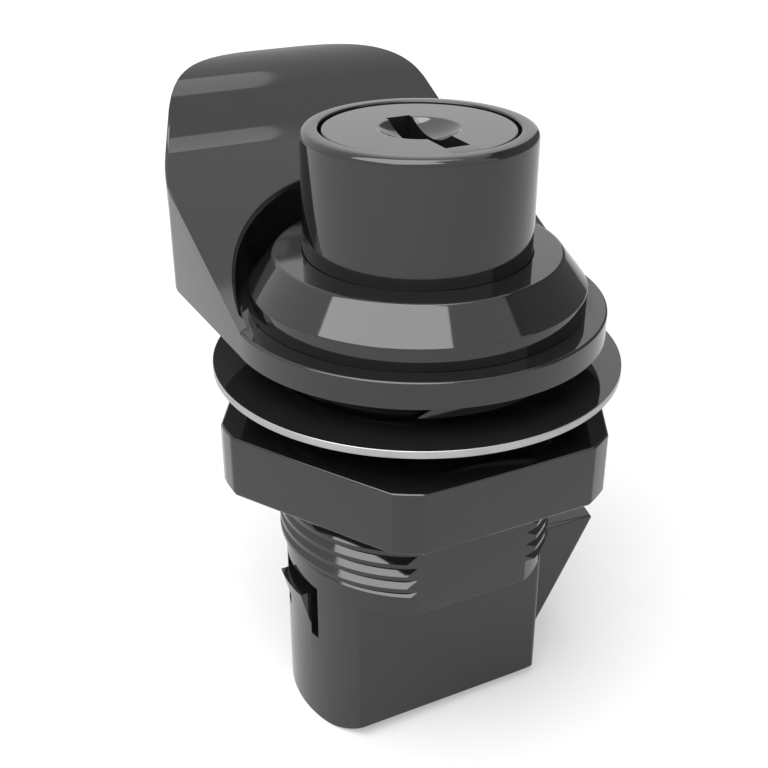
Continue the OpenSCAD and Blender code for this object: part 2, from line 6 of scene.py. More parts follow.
import bmesh
import bpy
from bpy.props import FloatProperty, FloatVectorProperty, IntProperty, PointerProperty
from mathutils import Matrix, Vector


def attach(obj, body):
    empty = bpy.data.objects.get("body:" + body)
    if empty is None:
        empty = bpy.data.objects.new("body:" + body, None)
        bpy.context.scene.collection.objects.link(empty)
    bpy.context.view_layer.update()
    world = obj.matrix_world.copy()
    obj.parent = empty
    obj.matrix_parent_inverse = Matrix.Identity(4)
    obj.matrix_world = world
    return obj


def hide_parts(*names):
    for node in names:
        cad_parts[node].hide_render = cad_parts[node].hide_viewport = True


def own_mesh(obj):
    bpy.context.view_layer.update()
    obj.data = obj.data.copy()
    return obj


bl_info = {
    "name": "Push-to-close latch",
    "version": (1, 0, 0),
    "blender": (4, 5, 0),
    "location": "View3D > Sidebar > Latch",
    "description": "Builds a push-button latch with a key lock, a finger pull and a slam bolt",
    "category": "Object",
}

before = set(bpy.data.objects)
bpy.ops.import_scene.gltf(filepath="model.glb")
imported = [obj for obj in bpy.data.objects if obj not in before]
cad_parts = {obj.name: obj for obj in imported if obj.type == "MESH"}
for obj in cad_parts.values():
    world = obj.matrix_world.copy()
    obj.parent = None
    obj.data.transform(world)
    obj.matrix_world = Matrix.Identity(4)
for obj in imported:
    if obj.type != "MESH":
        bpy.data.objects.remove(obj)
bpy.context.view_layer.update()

MM = 0.001
AXIS_Z = (0, 0, 1)
FULL_TURN = 2 * math.pi
# Metres within which points merge: at cuts, along the thread, and before edges are softened
NEAR, WELD, SPECK = 1e-7, 1e-6, 3e-5
# Degrees over which an edge counts as sharp, on the barrel too, and under which faces count as flat
SHARP, BARREL_SHARP, FLAT = 32, 25, 0.4

# Steps in a full turn: plain parts, parts seen from near, the washer's rim and the bolt's bore
TURN_STEPS, FINE_STEPS, RIM_STEPS, BORE_STEPS = 128, 160, 200, 48
# Steps in a section's round, a sector, the case's side, its corner and its foot
ROUND_STEPS, SECTOR_STEPS, SIDE_STEPS, CORNER_STEPS, FOOT_STEPS = 5, 16, 28, 8, 10
# Steps in each bend of the wing, its plan, the plug's dish, a turn of a coil and its wire's section
BEND_STEPS, PLAN_STEPS, DISH_STEPS, COIL_STEPS, WIRE_STEPS = 20, 26, 14, 32, 12

# Millimetres: how far a cutting shape reaches past what it cuts, a height over everything, the gap
# of a close fit, the overlap of joined pieces, and how near a face lies to a limit that picks it
PAST, ABOVE_ALL, FIT_GAP, LAP, PICK = 1, 40, 0.05, 0.02, 0.01

# Millimetres from the panel seat, on the barrel's axis, as in the solids
BARREL_R, BARREL_FLAT = 12.7, 10.87
THREAD_END, THREAD_START, SHOULDER = -20.55, -22.01, -22.75
BEZEL_R, BEZEL_TOP_R, LIP_TOP, BEZEL_TOP = 14.5, 12.3, 4.1, 6.9
BORE_R = 9.8
SEAL_IN, SEAL_OUT, SEAL_TOP = 13.0, 14.0, 3.05
WIPER_R, WIPER_LOW, WIPER_TOP = 10.67, 4.25, 5.25
DECK = -19.0
# The thread's section along one pitch: where its crest ends and its root starts and ends
CREST_END, ROOT_START, ROOT_END = 0.31, 0.74, 0.79
NECK_ROUND = 0.2
CASE_R, CASE_FLAT, CASE_LOW, CASE_ROUND = 12.2, 7.75, -38.0, 0.7
FOOT_FLAT, FOOT_R = 3.83, 6.35
CHAMBER_BACK, CHAMBER_HALF, CHAMBER_LOW, CHAMBER_TOP = -10.4, 5.05, -34.6, -22.6
TONGUE_SLOT = ((-3.75, -2.55, -23.6), (4.15, 2.55, -18))
# The window and the snap tab in it: half angles in degrees, radii and heights
WINDOW_HALF, WINDOW_IN, WINDOW_OUT, WINDOW_LOW = 16.2, 9.4, 13.2, -28.35
TAB_HALF, TAB_TOP = 11.2, -23.8
BARB_IN, BARB_OUT, BARB_H, BARB_HALF, BARB_SPARE = 11.3, 0.9, 3.55, 2.3, 2

RING_R, RING_H = 16.3, 2.25
WING_BACK, HOLLOW_R = 17.0, 15.5
RAMP_ANGLE, RAMP_FROM, RAMP_RUN = 25.1, 0.23, 19.94
BEND_R, RISE_ANGLE, RISE_LEN = 6.0, 49.3, 3.247
ROLL_R, TIP_ANGLE, END_ANGLE, TIP_R = 7.0, 25.5, 2.5, 8.799
WING_T, TIP_T, WING_HALF, WING_SIDE = 2.2, 1.8, 16.55, 15.8
# The wing's plan: powers of its curve, along and across, and how far it ends beyond the tip
PLAN_ALONG, PLAN_ACROSS, PLAN_SPARE = 1.44, 2.89, 0.05
RING_ROUND = 0.2

# Where edges are softened: on the pull off the ring and the ramp's underside and between two
# distances from the axis, and on the case off the shoulder, at the bolt's mouth and right of an X
OFF_EDGE, OFF_RAMP, PULL_FROM, PULL_TO = 0.3, 1, 1.2, 23.8
CASE_FROM, MOUTH_BAND = -8, 0.1

BUTTON_R, BUTTON_TOP, BUTTON_END = 9.75, 17.25, -8.0
KEY_IN, KEY_OUT, KEY_H, KEY_HALF = 9.0, 1.15, 3.0, 12.0
# How much larger the housing's guide ways are than the button's keys: in degrees, out and up
WAY_SIDE, WAY_OUT, WAY_UP = 1.5, 0.15, 0.3
RECESS_ROUND, SKIRT_ROUND, FACE_ROUND = 0.15, 0.2, 0.15
RECESS_R, RECESS_LOW, CUP_R, CUP_TOP = 8.25, 12.95, 8.0, 2.55
PLUG_R, PLUG_END, FACE_R, FACE_Z, HEAD_Z = 7.0, 1.0, 8.0, 17.1, 13.0
TAIL_R, TAIL_LOW = 3.2, -1.9
DISH_R, DISH_H = 3.43, 1.1
SLOT_HALF, SLOT_LOW_Y, SLOT_HIGH_Y, SLOT_END = 1.1, -6.195, 3.855, 3.2
GROOVE_IN, GROOVE_LOW, GROOVE_H = 6.3, 1.55, 0.9
SEAL_GROOVE_IN, SEAL_GROOVE_LOW, SEAL_GROOVE_H = 6.85, 14.35, 1.3

WASHER_R, WASHER_LOW, WASHER_TOP, CLEAR_R = 17.9, -3.35, -2.69, 12.75
WASHER_ROUND, RIM_BAND = 0.07, 0.05
NUT_LOW, NUT_TOP, NUT_APOTHEM, NUT_CORNER_R = -12.04, -6.42, 16.32, 18.1
BOLT_TIP, BOLT_BACK, BOLT_HALF, BOLT_LOW, NOSE_H = 18.1, -4.25, 4.9, -34.45, 0.3
POCKET = ((-1.5, -21.75), (10.3, -21.75), (10.3, -33.55))
POCKET_HALF, BOLT_BORE_R, BOLT_BORE_END, BOLT_BORE_Z = 2.55, 2.4, 2.0, -30.8
# Radii of the rounds in a section, by the number of the corner
BEZEL_ROUNDS = {0: 0.08, 1: 0.3, 2: 0.45, 3: 0.06}
BOLT_ROUNDS = {2: 0.2, 3: 0.25}
BUTTON_COIL = {"radius": 8.65, "wire": 0.9, "low": -18.95, "length": 10.9, "turns": 5}
BOLT_COIL = {"radius": 1.9, "wire": 0.5, "low": -10.35, "length": 12.3, "turns": 8}

INNER_NODES = {
    "flange_seal": "rubber", "button_seal": "rubber", "plug_seal": "rubber",
    "wafer_tumblers": "brass", "wafer_springs": "wire", "plug_clip": "wire",
    "stop_washer": "plated", "lock_cam": "plated", "cam_lock_washer": "plated",
    "cam_screw": "plated", "cam_yoke": "inner_plastic",
}

# Studio in metres: four level lamps side by side, dimmer towards the right, a dark card on the
# right and a pale sky. Each lamp has its left, right, front and back edge and its brightness
LAMP_HEIGHT = 0.8
LAMPS = {
    "broad_lamp": (-1.12, 0.0, -0.84, 0.235, 4.2), "narrow_lamp": (0.0, 0.1, -0.2, 0.235, 4.2),
    "softer_lamp": (0.1, 0.2, -0.2, 0.235, 2.6), "softest_lamp": (0.2, 0.3, -0.2, 0.235, 1.2),
}
CARD_X, CARD_Y, CARD_TOP = 0.7, (-0.6, 0.63), 0.95
SKY_LIGHT, STAGE_ROUGH, FLOOR_REACH, FLOOR_GAP = 0.35, 0.9, 6.0, 0.02
# The floor's glow: in mirrored rays, near by, far off, and the distances between which it rises
FLOOR_SHEEN, FLOOR_GLOW, FAR_GLOW, GLOW_FROM, GLOW_TO = 0.18, 0.36, 0.8, 0.15, 0.6

LENS, SENSOR, CLIP_FROM, CLIP_TO = 54.72, 36.0, 0.005, 20
CAMERA_AT = (-44.95, -81.77, 42.10)
CAMERA_HEADING, CAMERA_PITCH = 62.957, 27.40


def mm(x, y, z):
    """A point in millimetres as a vector in metres."""
    return Vector((x, y, z)) * MM


def turn(bm, angle, axis):
    """Turns a shape by degrees about a named axis through the origin."""
    bmesh.ops.rotate(bm, verts=bm.verts[:], cent=(0, 0, 0),
                     matrix=Matrix.Rotation(math.radians(angle), 3, axis))


def shift(bm, x, y, z):
    """Moves a shape by millimetres."""
    bmesh.ops.translate(bm, vec=mm(x, y, z), verts=bm.verts[:])


def section(corners, rounds=None):
    """A face in the XZ plane, from its corners as (distance, height).

    The rounds map a corner's number to its radius."""
    bm = bmesh.new()
    verts = [bm.verts.new(mm(x, 0, z)) for x, z in corners]
    bm.faces.new(verts)
    for number, radius in (rounds or {}).items():
        vert = verts[number]
        a, b = (edge.other_vert(vert).co - vert.co for edge in vert.link_edges)
        setback = radius / math.tan(a.angle(b) / 2)
        bmesh.ops.bevel(bm, geom=[vert], offset=setback * MM, offset_type="OFFSET",
                        segments=ROUND_STEPS, profile=0.5, affect="VERTICES", material=-1,
                        clamp_overlap=True)
    return bm


def outline(bm):
    """Drops the face of a section and keeps its edges."""
    bmesh.ops.delete(bm, geom=bm.faces[:], context="FACES_ONLY")
    return bm


def close(bm):
    """Merges what meets, closes the open ends and turns the faces outwards."""
    bmesh.ops.remove_doubles(bm, verts=bm.verts[:], dist=NEAR)
    rims = [edge for edge in bm.edges if edge.is_boundary]
    if rims:
        bmesh.ops.holes_fill(bm, edges=rims, sides=0)
    bmesh.ops.recalc_face_normals(bm, faces=bm.faces[:])
    return bm


def spun(corners, rounds=None, steps=TURN_STEPS):
    """A section turned right round the axis."""
    bm = outline(section(corners, rounds))
    on_axis = [e for e in bm.edges if all(abs(v.co.x) < NEAR for v in e.verts)]
    bmesh.ops.delete(bm, geom=on_axis, context="EDGES")
    bmesh.ops.spin(bm, geom=bm.verts[:] + bm.edges[:], cent=(0, 0, 0), axis=AXIS_Z,
                   dvec=(0, 0, 0), angle=FULL_TURN, steps=steps, use_merge=True)
    return close(bm)


def sector(corners, start, end):
    """A section turned round the axis from one angle to another, in degrees, with closed ends."""
    bm = outline(section(corners))
    turn(bm, start, "Z")
    bmesh.ops.spin(bm, geom=bm.verts[:] + bm.edges[:], cent=(0, 0, 0), axis=AXIS_Z,
                   dvec=(0, 0, 0), angle=math.radians(end - start), steps=SECTOR_STEPS)
    return close(bm)


def band(inner, outer, low, high):
    """The four corners of a rectangular section."""
    return [(inner, low), (outer, low), (outer, high), (inner, high)]


def rod(radius, low, high, steps=TURN_STEPS):
    """A round bar on the axis."""
    return spun(band(0, radius, low, high), steps=steps)


def block(low, high):
    """A block between two corners."""
    bm = bmesh.new()
    bmesh.ops.create_cube(bm, size=1)
    size = Vector(high) - Vector(low)
    bmesh.ops.scale(bm, vec=size * MM, verts=bm.verts[:])
    bmesh.ops.translate(bm, vec=(Vector(low) + Vector(high)) / 2 * MM, verts=bm.verts[:])
    return bm


def pushed(bm, direction):
    """A section's outline pushed through by a vector, with both ends closed."""
    outline(bm)
    out = bmesh.ops.extrude_edge_only(bm, edges=bm.edges[:])
    moved = [g for g in out["geom"] if isinstance(g, bmesh.types.BMVert)]
    bmesh.ops.translate(bm, vec=direction, verts=moved)
    return close(bm)


def side_prism(corners, half, rounds=None):
    """A shape seen from its side as (Y, Z) corners, as wide along X as twice a half width."""
    bm = section(corners, rounds)
    turn(bm, 90, "Z")
    shift(bm, -half, 0, 0)
    return pushed(bm, mm(2 * half, 0, 0))


def trim(bm, point, outward):
    """Cuts a closed shape by a plane, takes away what lies beyond it and closes the cut."""
    bmesh.ops.bisect_plane(bm, geom=bm.verts[:] + bm.edges[:] + bm.faces[:], dist=NEAR,
                           plane_co=point, plane_no=outward, clear_outer=True)
    return close(bm)


def in_order(bm):
    """The same shape with its corners on a fine grid and sorted, as are its faces.

    Without this a boolean's order and last digits vary from run to run."""
    grid = {vert: tuple(round(value / NEAR) for value in vert.co) for vert in bm.verts}
    verts = sorted(bm.verts, key=grid.get)
    place = {vert: number for number, vert in enumerate(verts)}
    rings = []
    for face in bm.faces:
        ring = [place[vert] for vert in face.verts]
        first = ring.index(min(ring))
        rings.append(ring[first:] + ring[:first])
    result = bmesh.new()
    corners = [result.verts.new(Vector(grid[vert]) * NEAR) for vert in verts]
    for ring in sorted(rings):
        result.faces.new([corners[number] for number in ring])
    bm.free()
    return result


def combine(bm, tool, operation):
    """A closed shape with another cut from it, joined to it or met with it."""
    objects = []
    for part in (bm, tool):
        mesh = bpy.data.meshes.new("work")
        part.to_mesh(mesh)
        part.free()
        objects.append(bpy.data.objects.new("work", mesh))
        bpy.context.scene.collection.objects.link(objects[-1])
    base, other = objects
    modifier = base.modifiers.new("combine", "BOOLEAN")
    modifier.object, modifier.operation, modifier.solver = other, operation, "EXACT"
    graph = bpy.context.evaluated_depsgraph_get()
    done = bpy.data.meshes.new_from_object(base.evaluated_get(graph))
    result = bmesh.new()
    result.from_mesh(done)
    for obj in objects:
        mesh = obj.data
        bpy.data.objects.remove(obj)
        bpy.data.meshes.remove(mesh)
    bpy.data.meshes.remove(done)
    if not result.faces:
        raise RuntimeError("a cut left nothing of the shape")
    bmesh.ops.remove_doubles(result, verts=result.verts[:], dist=NEAR)
    return in_order(result)


def cut(bm, tool):
    """A shape with another cut from it."""
    return combine(bm, tool, "DIFFERENCE")


def join(bm, tool):
    """Two shapes joined."""
    return combine(bm, tool, "UNION")


def meet(bm, tool):
    """What two shapes share."""
    return combine(bm, tool, "INTERSECT")


def arc(centre, radius, start, end, steps):
    """Points on an arc, from one angle to another in degrees."""
    angles = [math.radians(start + (end - start) * i / steps) for i in range(steps + 1)]
    x, z = centre
    return [(x + radius * math.cos(a), z + radius * math.sin(a)) for a in angles]


def piece(name, bm, body, finishes, edge=0.0, sharp=SHARP, segments=2, where=None):
    """A finished piece: smooth faces, sharp edges kept and softened, riding on its body.

    With a test of a point in millimetres, only the sharp edges that pass it are softened."""
    if edge:
        bmesh.ops.remove_doubles(bm, verts=bm.verts[:], dist=SPECK)
        bmesh.ops.dissolve_degenerate(bm, edges=bm.edges[:], dist=SPECK)
        bmesh.ops.dissolve_limit(bm, angle_limit=math.radians(FLAT), verts=bm.verts[:],
                                 edges=bm.edges[:])
    bmesh.ops.recalc_face_normals(bm, faces=bm.faces[:])
    if where:
        weight = bm.edges.layers.float.new("bevel_weight_edge")
        for line in bm.edges:
            inside = all(where(vert.co / MM) for vert in line.verts)
            if inside and line.is_manifold and line.calc_face_angle() > math.radians(sharp):
                line[weight] = 1.0
    mesh = bpy.data.meshes.new(name)
    bm.to_mesh(mesh)
    bm.free()
    mesh.shade_smooth()
    mesh.set_sharp_from_angle(angle=math.radians(sharp))
    for finish in finishes:
        mesh.materials.append(bpy.data.materials[finish])
    obj = bpy.data.objects.new(name, mesh)
    bpy.context.scene.collection.objects.link(obj)
    if edge:
        soften = obj.modifiers.new("edges", "BEVEL")
        soften.width, soften.segments = edge, segments
        soften.limit_method = "WEIGHT" if where else "ANGLE"
        soften.angle_limit = math.radians(sharp)
        soften.miter_outer = "MITER_ARC"
        soften.use_clamp_overlap = False
    obj.modifiers.new("flats", "WEIGHTED_NORMAL").keep_sharp = True
    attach(obj, body)
    return obj


# Finishes

def shader(name):
    """A new material and its main shader."""
    old = bpy.data.materials.get(name)
    if old:
        bpy.data.materials.remove(old)
    material = bpy.data.materials.new(name)
    material.use_nodes = True
    return material, material.node_tree, material.node_tree.nodes["Principled BSDF"]


def grain(tree, target, scale, low, high, stretch=(1, 1, 1)):
    """Noise on object coordinates that swings a value between two levels."""
    nodes, links = tree.nodes, tree.links
    where = nodes.new("ShaderNodeTexCoord")
    spread = nodes.new("ShaderNodeMapping")
    spread.inputs["Scale"].default_value = stretch
    noise = nodes.new("ShaderNodeTexNoise")
    noise.inputs["Scale"].default_value = scale
    noise.inputs["Detail"].default_value = 3.0
    level = nodes.new("ShaderNodeMapRange")
    level.inputs["To Min"].default_value, level.inputs["To Max"].default_value = low, high
    links.new(where.outputs["Object"], spread.inputs["Vector"])
    links.new(spread.outputs["Vector"], noise.inputs["Vector"])
    links.new(noise.outputs["Fac"], level.inputs["Value"])
    links.new(level.outputs["Result"], target)


def tinted(tree, main, colour, scale, swing):
    """The main colour with a faint cloudy change, as a moulding or a plating has."""
    nodes, links = tree.nodes, tree.links
    where = nodes.new("ShaderNodeTexCoord")
    noise = nodes.new("ShaderNodeTexNoise")
    noise.inputs["Scale"].default_value = scale
    ramp = nodes.new("ShaderNodeValToRGB")
    for end, place, share in zip(ramp.color_ramp.elements, (0.3, 0.7), (1 - swing, 1 + swing)):
        end.position = place
        end.color = [c * share for c in colour] + [1]
    links.new(where.outputs["Object"], noise.inputs["Vector"])
    links.new(noise.outputs["Fac"], ramp.inputs["Fac"])
    links.new(ramp.outputs["Color"], main.inputs["Base Color"])


def relief(tree, main, scale, strength, depth, stretch=(1, 1, 1)):
    """A very shallow bump."""
    bump = tree.nodes.new("ShaderNodeBump")
    bump.inputs["Strength"].default_value = strength
    bump.inputs["Distance"].default_value = depth
    grain(tree, bump.inputs["Height"], scale, 0, 1, stretch=stretch)
    tree.links.new(bump.outputs["Normal"], main.inputs["Normal"])


def plastic(name, colour, rough):
    """Glossy moulded plastic."""
    _, tree, main = shader(name)
    tinted(tree, main, colour, scale=260, swing=0.04)
    main.inputs["IOR"].default_value = 1.5
    main.inputs["Specular IOR Level"].default_value = 0.69
    grain(tree, main.inputs["Roughness"], scale=900, low=rough * 0.85, high=rough * 1.15)
    relief(tree, main, scale=700, strength=0.05, depth=0.00002)


def metal(name, colour, rough, streak=(1, 1, 1)):
    """Bare or plated metal with fine drawn lines."""
    _, tree, main = shader(name)
    tinted(tree, main, colour, scale=400, swing=0.06)
    main.inputs["Metallic"].default_value = 1.0
    grain(tree, main.inputs["Roughness"], scale=1200, low=rough * 0.8, high=rough * 1.25,
          stretch=streak)
    relief(tree, main, scale=2400, strength=0.1, depth=0.00001, stretch=streak)


class LatchSizes(bpy.types.PropertyGroup):
    """Sizes of the latch that can be changed in the panel"""
    thread_pitch: FloatProperty(
        name="Thread pitch", description="Rise of the barrel's thread in one turn",
        default=1.27 * MM, min=0.8 * MM, max=2 * MM, unit="LENGTH", precision=5)
    thread_depth: FloatProperty(
        name="Thread depth", description="Depth of the barrel's thread",
        default=0.5 * MM, min=0.3 * MM, max=0.6 * MM, unit="LENGTH", precision=5)
    thread_steps: IntProperty(
        name="Thread steps", description="Steps in one turn of the thread",
        default=96, min=32, max=160)
    edge: FloatProperty(
        name="Moulded edge", description="Round on the moulded edges",
        default=0.15 * MM, min=0.05 * MM, max=0.4 * MM, unit="LENGTH", precision=5)
    wing_edge: FloatProperty(
        name="Wing edge", description="Round on the edges of the finger pull",
        default=0.3 * MM, min=0.1 * MM, max=0.6 * MM, unit="LENGTH", precision=5)
    button_round: FloatProperty(
        name="Button round", description="Round on the push button's top edge",
        default=0.6 * MM, min=0.2 * MM, max=0.9 * MM, unit="LENGTH", precision=5)
    dish_lip: FloatProperty(
        name="Dish lip", description="Soft edge of the dish in the plug's face",
        default=0.35 * MM, min=0.1 * MM, max=0.6 * MM, unit="LENGTH", precision=5)


def colour_prop(name, description, value):
    """A colour as a property."""
    return FloatVectorProperty(name=name, description=description, subtype="COLOR", size=3,
                               min=0, max=1, default=value)


class LatchColours(bpy.types.PropertyGroup):
    """Colours of the latch and its stage"""
    moulding: colour_prop("Moulding", "Bezel, barrel, case, pull and nut", (0.010, 0.010, 0.0105))
    button: colour_prop("Button", "Push button", (0.011, 0.011, 0.0115))
    plug: colour_prop("Plug", "Face of the lock plug", (0.022, 0.022, 0.023))
    # Key slot walls: near black as painted shade, standing in for the shade deep inside the narrow
    # slot
    keyway: colour_prop("Key slot", "Dark walls of the key slot", (0.006, 0.006, 0.006))
    washer_face: colour_prop("Washer face", "Black faces of the washer", (0.012, 0.012, 0.012))
    washer_rim: colour_prop("Washer rim", "Cut edge of the panel washer", (0.44, 0.44, 0.44))
    inner: colour_prop("Inner moulding", "Yoke inside the case", (0.03, 0.03, 0.032))
    wire: colour_prop("Spring wire", "Springs and clip", (0.55, 0.56, 0.58))
    plating: colour_prop("Plating", "Cam, screw and washers of the lock", (0.52, 0.53, 0.55))
    brass: colour_prop("Brass", "Wafers", (0.62, 0.50, 0.26))
    rubber: colour_prop("Rubber", "Seals", (0.012, 0.012, 0.013))
    floor: colour_prop("Floor", "Plain floor under the latch", (0.62, 0.62, 0.62))
    card: colour_prop("Dark card", "Card that keeps the right side dark", (0.30, 0.30, 0.30))


class LatchOperator:
    bl_options = {"REGISTER", "UNDO"}


class LATCH_OT_finishes(LatchOperator, bpy.types.Operator):
    """Makes every finish of the latch"""
    bl_idname = "latch.finishes"
    bl_label = "Finishes"

    def execute(self, context):
        colours = context.scene.latch_colours
        plastic("moulding", colours.moulding, rough=0.06)
        plastic("button", colours.button, rough=0.08)
        plastic("inner_plastic", colours.inner, rough=0.35)
        plastic("washer_face", colours.washer_face, rough=0.04)
        metal("washer_rim", colours.washer_rim, rough=0.38, streak=(1, 1, 0.1))
        metal("wire", colours.wire, rough=0.22)
        metal("plated", colours.plating, rough=0.25)
        metal("brass", colours.brass, rough=0.3)
        _, tree, main = shader("plug_face")
        tinted(tree, main, colours.plug, scale=500, swing=0.05)
        main.inputs["Specular IOR Level"].default_value = 1.0
        grain(tree, main.inputs["Roughness"], scale=1500, low=0.07, high=0.11)
        relief(tree, main, scale=900, strength=0.06, depth=0.00002)
        # Key slot walls: near black and rougher, painted shade for the deep slot
        _, tree, main = shader("keyway")
        tinted(tree, main, colours.keyway, scale=500, swing=0.1)
        grain(tree, main.inputs["Roughness"], scale=1500, low=0.3, high=0.45)
        _, tree, main = shader("rubber")
        tinted(tree, main, colours.rubber, scale=600, swing=0.15)
        grain(tree, main.inputs["Roughness"], scale=1500, low=0.5, high=0.7)
        relief(tree, main, scale=1800, strength=0.2, depth=0.00003)
        return {"FINISHED"}


class LATCH_OT_bezel(LatchOperator, bpy.types.Operator):
    """Bezel: a lip, a cone and a flat top round the button's bore"""
    bl_idname = "latch.bezel"
    bl_label = "Bezel"

    def execute(self, context):
        bm = spun(
            [(BEZEL_R, RING_H), (BEZEL_R, LIP_TOP), (BEZEL_TOP_R, BEZEL_TOP), (BORE_R, BEZEL_TOP),
             (BORE_R, WIPER_TOP), (WIPER_R, WIPER_TOP), (WIPER_R, WIPER_LOW), (BORE_R, WIPER_LOW),
             (BORE_R, RING_H), (SEAL_IN, RING_H), (SEAL_IN, SEAL_TOP), (SEAL_OUT, SEAL_TOP),
             (SEAL_OUT, RING_H)], BEZEL_ROUNDS, steps=FINE_STEPS)
        piece("housing_bezel", bm, "housing", ["moulding"])
        return {"FINISHED"}


def threaded_rod(sizes, low, high):
    """A rod with a right-hand thread, spun along its own rise and cut off square at both ends."""
    pitch, steps = sizes.thread_pitch / MM, sizes.thread_steps
    root = BARREL_R - sizes.thread_depth / MM
    bm = bmesh.new()
    line = ((BARREL_R, 0), (BARREL_R, CREST_END), (root, ROOT_START), (root, ROOT_END),
            (BARREL_R, 1))
    verts = [bm.verts.new(mm(r, 0, THREAD_START + share * pitch)) for r, share in line]
    edges = [bm.edges.new(pair) for pair in zip(verts, verts[1:])]
    turns = math.ceil((high - THREAD_START) / pitch)
    bmesh.ops.spin(bm, geom=verts + edges, cent=(0, 0, 0), axis=AXIS_Z,
                   dvec=(0, 0, pitch / steps * MM), angle=FULL_TURN * turns, steps=steps * turns)
    bmesh.ops.remove_doubles(bm, verts=bm.verts[:], dist=WELD)
    bmesh.ops.recalc_face_normals(bm, faces=bm.faces[:])
    for height, outward in ((high, 1), (low, -1)):
        bmesh.ops.bisect_plane(bm, geom=bm.verts[:] + bm.edges[:] + bm.faces[:], dist=NEAR,
                               plane_co=mm(0, 0, height), plane_no=(0, 0, outward),
                               clear_outer=True)
    return close(bm)


class LATCH_OT_barrel(LatchOperator, bpy.types.Operator):
    """Threaded barrel with two flats, and the plain neck under it"""
    bl_idname = "latch.barrel"
    bl_label = "Barrel"

    def execute(self, context):
        bm = threaded_rod(context.scene.latch_sizes, THREAD_END, RING_H)
        bm = join(bm, rod(CASE_R, SHOULDER - PAST, THREAD_END + LAP))
        flats = band(-BARREL_FLAT, BARREL_FLAT, SHOULDER, RING_H + PAST)
        bm = meet(bm, side_prism(flats, BARREL_R + PAST, {0: NECK_ROUND, 1: NECK_ROUND}))
        bm = cut(bm, rod(BORE_R, DECK, RING_H + PAST))
        way = band(BORE_R - PAST, BUTTON_R + KEY_OUT + WAY_OUT, DECK, BUTTON_END + KEY_H + WAY_UP)
        half = KEY_HALF + WAY_SIDE
        for middle in (0, 180):
            bm = cut(bm, sector(way, middle - half, middle + half))
        bm = cut(bm, block(*TONGUE_SLOT))
        obj = piece("housing_barrel", bm, "housing", ["moulding"],
                    sharp=BARREL_SHARP)
        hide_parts("housing")
        return {"FINISHED"}


def case_plan():
    """The lower case in plan: two flats whose ends are rounded into the round sides."""
    centre_y = CASE_FLAT - CASE_ROUND
    centre_x = math.sqrt((CASE_R - CASE_ROUND) ** 2 - centre_y ** 2)
    touch = math.degrees(math.atan2(centre_y, centre_x))
    side = arc((0, 0), CASE_R, -touch, touch, SIDE_STEPS)
    corner = arc((centre_x, centre_y), CASE_ROUND, touch, 90, CORNER_STEPS)[1:]
    right = [(x, -y) for x, y in corner[::-1]] + side + corner
    return right + [(-x, -y) for x, y in right]


def case_edge(point):
    """Whether a point in millimetres is right of the tab, below the shoulder or at the mouth."""
    at_mouth = abs(abs(point.y) - CHAMBER_HALF) < MOUTH_BAND
    return point.x > CASE_FROM and (point.z < SHOULDER - OFF_EDGE or at_mouth)


class LATCH_OT_case(LatchOperator, bpy.types.Operator):
    """Lower case with its rounded edges, the bolt's chamber and the snap tab with its barb"""
    bl_idname = "latch.case"
    bl_label = "Lower case"

    def execute(self, context):
        bm = bmesh.new()
        bm.faces.new([bm.verts.new(mm(x, y, SHOULDER)) for x, y in case_plan()])
        bm = pushed(bm, mm(0, 0, CASE_LOW - SHOULDER))
        end = -math.degrees(math.acos((CASE_FLAT - FOOT_FLAT) / FOOT_R))
        foot = arc((FOOT_FLAT, CASE_LOW + FOOT_R), FOOT_R, -90, end, FOOT_STEPS)
        top = [(CASE_FLAT, SHOULDER + PAST), (-CASE_FLAT, SHOULDER + PAST)]
        bm = meet(bm, side_prism(foot + top + [(-y, z) for y, z in foot[::-1]], CASE_R + PAST))
        bm = cut(bm, block((CHAMBER_BACK, -CHAMBER_HALF, CHAMBER_LOW),
                           (CASE_R + PAST, CHAMBER_HALF, CHAMBER_TOP)))
        window = sector(band(WINDOW_IN, WINDOW_OUT, WINDOW_LOW, SHOULDER + PAST),
                        180 - WINDOW_HALF, 180 + WINDOW_HALF)
        tab = sector(band(WINDOW_IN - PAST, WINDOW_OUT + PAST, WINDOW_LOW - PAST, TAB_TOP),
                     180 - TAB_HALF, 180 + TAB_HALF)
        bm = cut(bm, cut(window, tab))
        foot_z, half = TAB_TOP - BARB_H, TAB_HALF + BARB_SPARE
        barb = sector([(BARB_IN, foot_z), (CASE_R - LAP, foot_z), (CASE_R + BARB_OUT, TAB_TOP),
                       (BARB_IN, TAB_TOP)], 180 - half, 180 + half)
        for side in (1, -1):
            trim(barb, mm(0, side * BARB_HALF, 0), (0, side, 0))
        bm = join(bm, barb)
        piece("housing_case", bm, "housing", ["moulding"],
              edge=context.scene.latch_sizes.edge, where=case_edge)
        return {"FINISHED"}


def ramp_height(y):
    """Height of the wing's ramp at a distance from the axis."""
    return RING_H + (y - RAMP_FROM) * math.tan(math.radians(RAMP_ANGLE))


def wing_line():
    """The wing's upper face seen from its side, as (distance out, height, slope)."""
    def bend(points, radius, end):
        x, z, start = points[-1]
        sense = 1 if end > start else -1
        a = math.radians(start)
        for i in range(1, BEND_STEPS + 1):
            b = math.radians(start + (end - start) * i / BEND_STEPS)
            points.append((x + sense * radius * (math.sin(b) - math.sin(a)),
                           z + sense * radius * (math.cos(a) - math.cos(b)), math.degrees(b)))

    points = [(RAMP_RUN, ramp_height(RAMP_RUN), RAMP_ANGLE)]
    bend(points, BEND_R, RISE_ANGLE)
    x, z, slope = points[-1]
    a = math.radians(slope)
    points.append((x + RISE_LEN * math.cos(a), z + RISE_LEN * math.sin(a), slope))
    bend(points, ROLL_R, TIP_ANGLE)
    bend(points, TIP_R, END_ANGLE)
    return points


def upper_edge(point):
    """Whether a point in millimetres is on the pull's upper side, off the ring and the roll."""
    lowest = max(RING_H + OFF_EDGE, ramp_height(point.y) - OFF_RAMP)
    return point.z > lowest and PULL_FROM < point.y < PULL_TO


